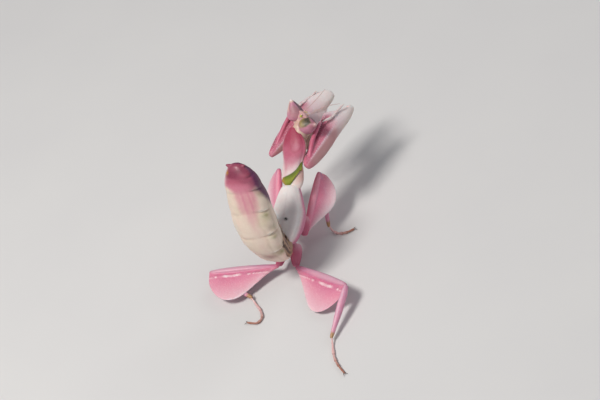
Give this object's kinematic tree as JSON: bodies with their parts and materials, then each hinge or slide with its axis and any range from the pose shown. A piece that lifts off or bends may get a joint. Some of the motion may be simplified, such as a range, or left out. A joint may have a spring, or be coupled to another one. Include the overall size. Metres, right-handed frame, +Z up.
{
  "type": "orchid mantis",
  "caption": "Life-size orchid mantis nymph standing still, abdomen curled up over its back, petal-like leg lobes spread and forelegs folded to one side.",
  "frame": {"origin": "middle of the bounding box at floor level, between the feet", "axes": "+Z up, the head points to -Y, the nymph's right side is at -X"},
  "size_m": [0.024, 0.0386, 0.0209],
  "materials": {
    "cuticle": "satin, finely grained, pink shading to ivory",
    "shield": "satin, deep rose shading to pale pink with a green hind rim",
    "eye": "glossy, grey and gold mottling over pink",
    "foot": "satin, pale brown darkening to the claws",
    "feeler": "matt, pale brown"
  },
  "bodies": {
    "root": {"head": "cuticle", "eye_right": "eye", "eye_left": "eye", "antenna_right": "feeler", "antenna_left": "feeler", "neck": "cuticle", "prothorax": "shield", "mesothorax": "cuticle", "metathorax": "cuticle", "abdomen_1": "cuticle", "abdomen_2": "cuticle", "abdomen_3": "cuticle", "abdomen_4": "cuticle", "abdomen_5": "cuticle", "abdomen_6": "cuticle", "cercus_right": "cuticle", "cercus_left": "cuticle", "foreleg_right_coxa": "cuticle", "foreleg_right_femur": "cuticle", "foreleg_right_tibia": "cuticle", "foreleg_right_tarsus": "foot", "foreleg_left_coxa": "cuticle", "foreleg_left_femur": "cuticle", "foreleg_left_tibia": "cuticle", "foreleg_left_tarsus": "foot", "midleg_right_coxa": "cuticle", "midleg_right_femur": "cuticle", "midleg_right_tibia": "cuticle", "midleg_right_tarsus": "foot", "midleg_left_coxa": "cuticle", "midleg_left_femur": "cuticle", "midleg_left_tibia": "cuticle", "midleg_left_tarsus": "foot", "hindleg_right_coxa": "cuticle", "hindleg_right_femur": "cuticle", "hindleg_right_tibia": "cuticle", "hindleg_right_tarsus": "foot", "hindleg_left_coxa": "cuticle", "hindleg_left_femur": "cuticle", "hindleg_left_tibia": "cuticle", "hindleg_left_tarsus": "foot"}
  },
  "joints": []
}
